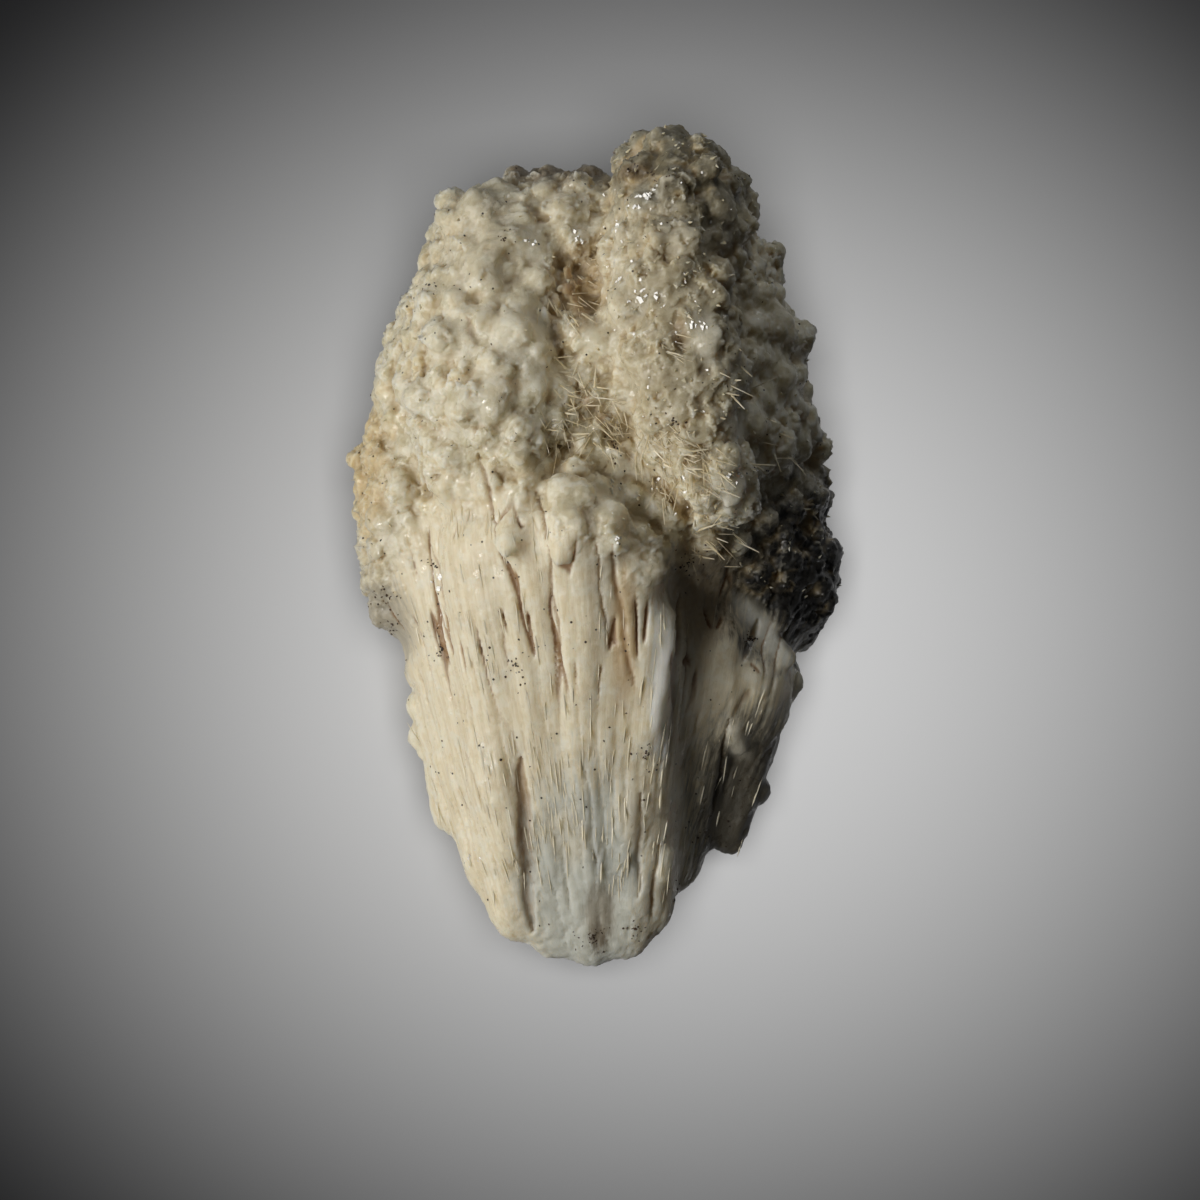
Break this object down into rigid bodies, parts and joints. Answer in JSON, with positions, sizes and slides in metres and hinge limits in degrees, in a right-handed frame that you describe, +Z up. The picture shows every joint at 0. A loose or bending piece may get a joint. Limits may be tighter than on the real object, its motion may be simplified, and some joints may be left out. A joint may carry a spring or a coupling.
{
  "type": "calcite mineral specimen",
  "caption": "Calcite specimen lying on its flat broken back: fibre bundles fanning out from a narrow foot into two knobbly crystal lobes with a hollow between.",
  "frame": {"origin": "on the surface the specimen lies on, under the middle of its bounding box", "axes": "+X across the specimen, +Y from its narrow foot to its knobbly crown, +Z up out of the surface it lies on, through its best side"},
  "size_m": [0.0599, 0.1001, 0.0377],
  "materials": {
    "calcite": "cream, waxy and slightly glossy, with sugary crystal knobs"
  },
  "bodies": {
    "root": {"calcite": "calcite"}
  },
  "joints": []
}
